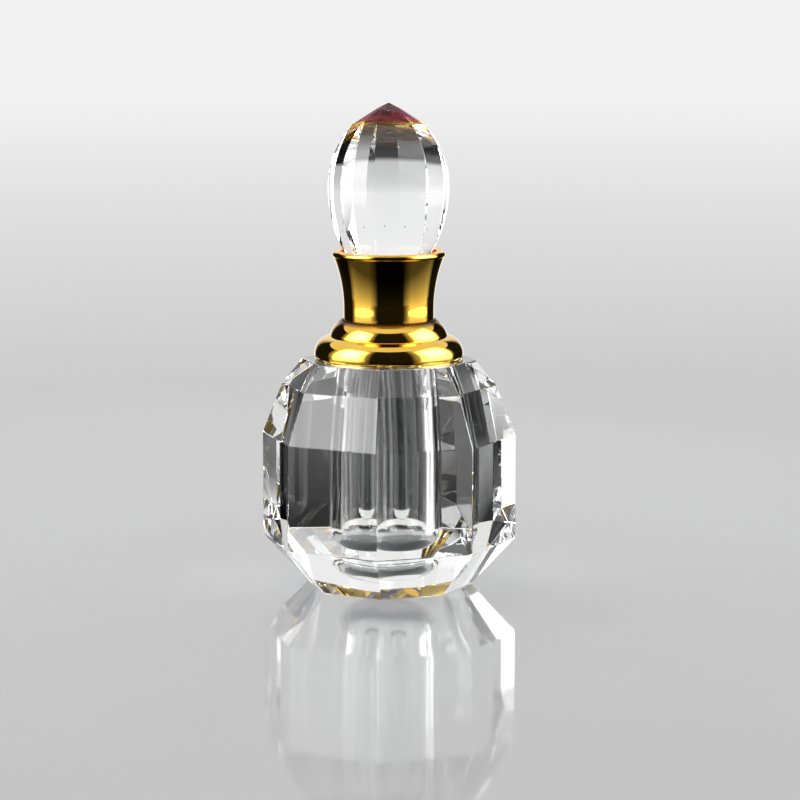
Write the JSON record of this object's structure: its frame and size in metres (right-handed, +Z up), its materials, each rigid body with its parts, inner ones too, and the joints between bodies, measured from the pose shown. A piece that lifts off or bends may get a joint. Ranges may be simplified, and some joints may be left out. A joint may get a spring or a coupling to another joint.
{
  "type": "perfume bottle",
  "caption": "Cut-crystal perfume bottle with an octagonal faceted body, gilded collar and a screw-on flared cap carrying a glass dabber rod and a faceted crystal finial.",
  "frame": {"origin": "centre of the flat base, on the surface the bottle stands on", "axes": "+Z up along the bottle's axis; an upright edge of the octagonal body points along -Y, and edges lie on +X, -X and +Y too"},
  "size_m": [0.048, 0.048, 0.0907],
  "materials": {
    "body_crystal": "polished lead-free crystal, sharp facets",
    "finial_crystal": "polished crystal with an iridescent film on the pointed crown",
    "rod_glass": "drawn clear glass, fire-rounded tip",
    "collar_gilt": "mirror-polished gold plating",
    "cap_gilt": "mirror-polished gold plating, satin top face",
    "neck_brass": "turned and threaded, gold-washed",
    "liner_plastic": "moulded, natural white",
    "plug_plastic": "moulded, natural white",
    "washer_soft": "soft foamed disc",
    "adhesive": "clear cured adhesive film"
  },
  "bodies": {
    "bottle": {"bottle_body": "body_crystal", "collar_adhesive": "adhesive", "collar": "collar_gilt", "neck": "neck_brass"},
    "washer": {"seal_washer": "washer_soft"},
    "dabber": {"plug": "plug_plastic", "dabber_rod": "rod_glass"},
    "cap": {"cap_shell": "cap_gilt", "cap_liner": "liner_plastic", "finial_adhesive": "adhesive", "finial": "finial_crystal"}
  },
  "joints": [
    {"name": "stopper_lift", "type": "slide", "parent": "bottle", "child": "washer", "axis": [0, 0, 1], "range_m": [0, 0.05]},
    {"name": "thread_rise", "type": "slide", "parent": "washer", "child": "dabber", "axis": [0, 0, 1], "range_m": [0, 0.0032]},
    {"name": "cap_turn", "type": "hinge", "parent": "dabber", "child": "cap", "pos_m": [0, 0, 0.05], "axis": [0, 0, 1], "range_deg": [0, 540]}
  ],
  "couplings": [
    {"joint": "thread_rise", "follows": "cap_turn", "m_per_rad": 0.00033423}
  ]
}
